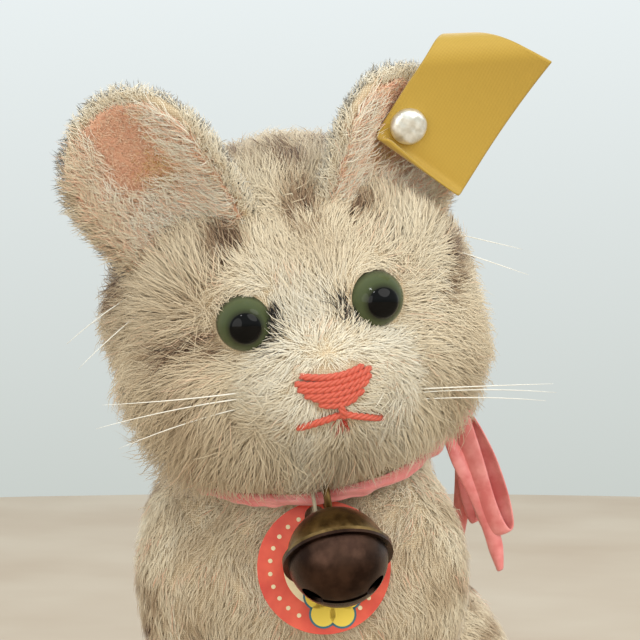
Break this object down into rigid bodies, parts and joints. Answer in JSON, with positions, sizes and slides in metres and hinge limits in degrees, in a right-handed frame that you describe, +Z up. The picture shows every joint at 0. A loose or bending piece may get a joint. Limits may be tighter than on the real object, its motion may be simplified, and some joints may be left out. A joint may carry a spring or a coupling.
{
  "type": "plush cat",
  "caption": "Small sitting plush cat with a disc-jointed head that turns, glass eyes, a ribbon collar with a bow, a swinging crotal bell and a hanging round card tag.",
  "frame": {"origin": "on the surface that the cat sits on, under the middle of its seat", "axes": "+Z up, the chest faces -Y, the cat's left side is +X"},
  "size_m": [0.0606, 0.0749, 0.1016],
  "materials": {
    "plush_cover": "woven backing with a mohair pile",
    "ear_pile": "short pile, napped",
    "stuffing": "matte wood wool",
    "joint_board": "pressed board, matte",
    "joint_steel": "plain zinc-grey wire and plate",
    "eye_glass": "polished",
    "pupil_glass": "polished black",
    "floss": "twisted floss, soft sheen",
    "thread": "linen thread",
    "whisker": "clear monofilament",
    "rivet": "hammered satin",
    "label_cloth": "close plain weave",
    "satin": "satin ribbon",
    "bell_brass": "aged and worn",
    "pellet_steel": "plain",
    "tag_card": "printed card with a foil rim"
  },
  "bodies": {
    "root": {"belly_panel": "plush_cover", "body_left_panel": "plush_cover", "body_right_panel": "plush_cover", "body_stuffing": "stuffing", "body_joint_disc": "joint_board", "body_joint_washer": "joint_steel", "body_gather_thread": "thread", "tail_cover": "plush_cover", "tail_core": "stuffing", "ribbon_collar": "satin", "ribbon_knot": "satin", "front_bow_loop": "satin", "rear_bow_loop": "satin", "front_streamer": "satin", "rear_streamer": "satin", "tag_thread": "thread"},
    "head": {"head_gusset": "plush_cover", "head_left_panel": "plush_cover", "head_right_panel": "plush_cover", "head_stuffing": "stuffing", "head_joint_disc": "joint_board", "head_joint_washer": "joint_steel", "head_gather_thread": "thread", "split_pin": "joint_steel", "left_eye_glass": "eye_glass", "right_eye_glass": "eye_glass", "left_eye_pupil": "pupil_glass", "right_eye_pupil": "pupil_glass", "left_eye_wire": "joint_steel", "right_eye_wire": "joint_steel", "left_ear_back": "plush_cover", "right_ear_back": "plush_cover", "left_ear_lining": "ear_pile", "right_ear_lining": "ear_pile", "nose_stitches": "floss", "mouth_stitches": "floss", "left_whiskers": "whisker", "right_whiskers": "whisker", "ear_rivet": "rivet", "rivet_back_plate": "rivet", "ear_label": "label_cloth"},
    "bell": {"bell_upper_shell": "bell_brass", "bell_lower_shell": "bell_brass", "bell_shank": "bell_brass"},
    "pellet": {"bell_pellet": "pellet_steel"},
    "tag": {"tag_card": "tag_card"}
  },
  "joints": [
    {"name": "head_turn", "type": "hinge", "parent": "root", "child": "head", "pos_m": [0, -0.012, 0.061], "axis": [0, -0.3746, 0.9272], "continuous": true},
    {"name": "bell_swing", "type": "hinge", "parent": "root", "child": "bell", "pos_m": [0.00638, -0.02405, 0.0543], "axis": [-0.9063, -0.3918, -0.1583], "range_deg": [0, 50]},
    {"name": "pellet_slide", "type": "slide", "parent": "bell", "child": "pellet", "axis": [-0.3544, 0.5007, 0.7897], "range_m": [0, 0.005]},
    {"name": "tag_swing", "type": "hinge", "parent": "root", "child": "tag", "pos_m": [0.00451, -0.02231, 0.05187], "axis": [0.3584, -0.9111, 0.2034], "range_deg": [-20, 20]}
  ]
}
